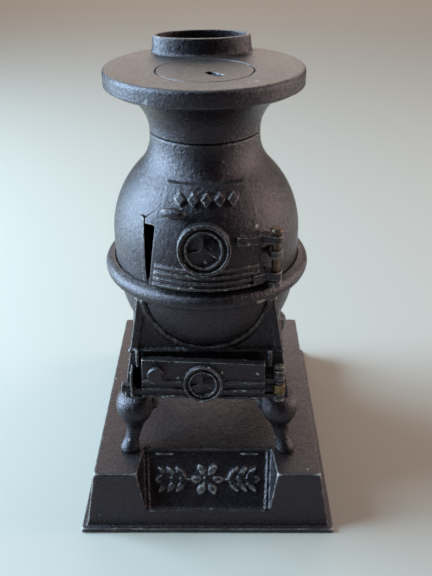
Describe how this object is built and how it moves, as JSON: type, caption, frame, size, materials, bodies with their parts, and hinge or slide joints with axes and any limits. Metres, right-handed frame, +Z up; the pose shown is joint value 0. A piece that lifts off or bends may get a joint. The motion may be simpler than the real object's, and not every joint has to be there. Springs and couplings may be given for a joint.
{
  "type": "cast iron still bank",
  "caption": "Cast iron money bank shaped like a pot-bellied stove on a hollow pedestal, with a coin slot in its top collar, hinged fire and ash doors and a lift-off lid.",
  "frame": {"origin": "centre of the pedestal's underside, on the surface the bank stands on", "axes": "+Z up, -Y towards the front with the doors and the sloping panel, +X to the right of someone facing the front"},
  "size_m": [0.1022, 0.1258, 0.179],
  "materials": {
    "black_iron": "worn black enamel on cast iron, satin, with a fine cast grain, dulled upward faces and edges rubbed lighter",
    "dark_bronze": "dark tarnished bronze",
    "brass": "rubbed yellow brass",
    "dull_steel": "dull oxidised steel"
  },
  "bodies": {
    "stove": {"pedestal": "black_iron", "ash_pit": "black_iron", "fire_bowl": "black_iron", "belly": "black_iron", "top_casting": "black_iron", "upper_hinge_pin": "dark_bronze", "lower_hinge_pin": "dull_steel", "lower_hinge_bush": "brass", "keeper_pin": "black_iron", "centre_bolt": "dull_steel", "bolt_washer": "dull_steel", "bolt_nut": "dull_steel", "foot_screws": "dull_steel", "leg_front_left": "black_iron", "leg_front_right": "black_iron", "leg_rear_left": "black_iron", "leg_rear_right": "black_iron"},
    "upper_door": {"upper_door": "black_iron", "upper_door_knob": "black_iron"},
    "lower_door": {"lower_door": "black_iron", "lower_door_knob": "black_iron"},
    "lid": {"stove_lid": "black_iron"}
  },
  "joints": [
    {"name": "upper_door_hinge", "type": "hinge", "parent": "stove", "child": "upper_door", "pos_m": [0.0253, -0.037, 0.112], "axis": [0, 0, 1], "range_deg": [0, 105]},
    {"name": "lower_door_hinge", "type": "hinge", "parent": "stove", "child": "lower_door", "pos_m": [0.0282, -0.04059, 0.06195], "axis": [0, 0.1582, 0.9874], "range_deg": [0, 100]},
    {"name": "lid_lift", "type": "slide", "parent": "stove", "child": "lid", "axis": [0, 0, 1], "range_m": [0, 0.03]}
  ]
}
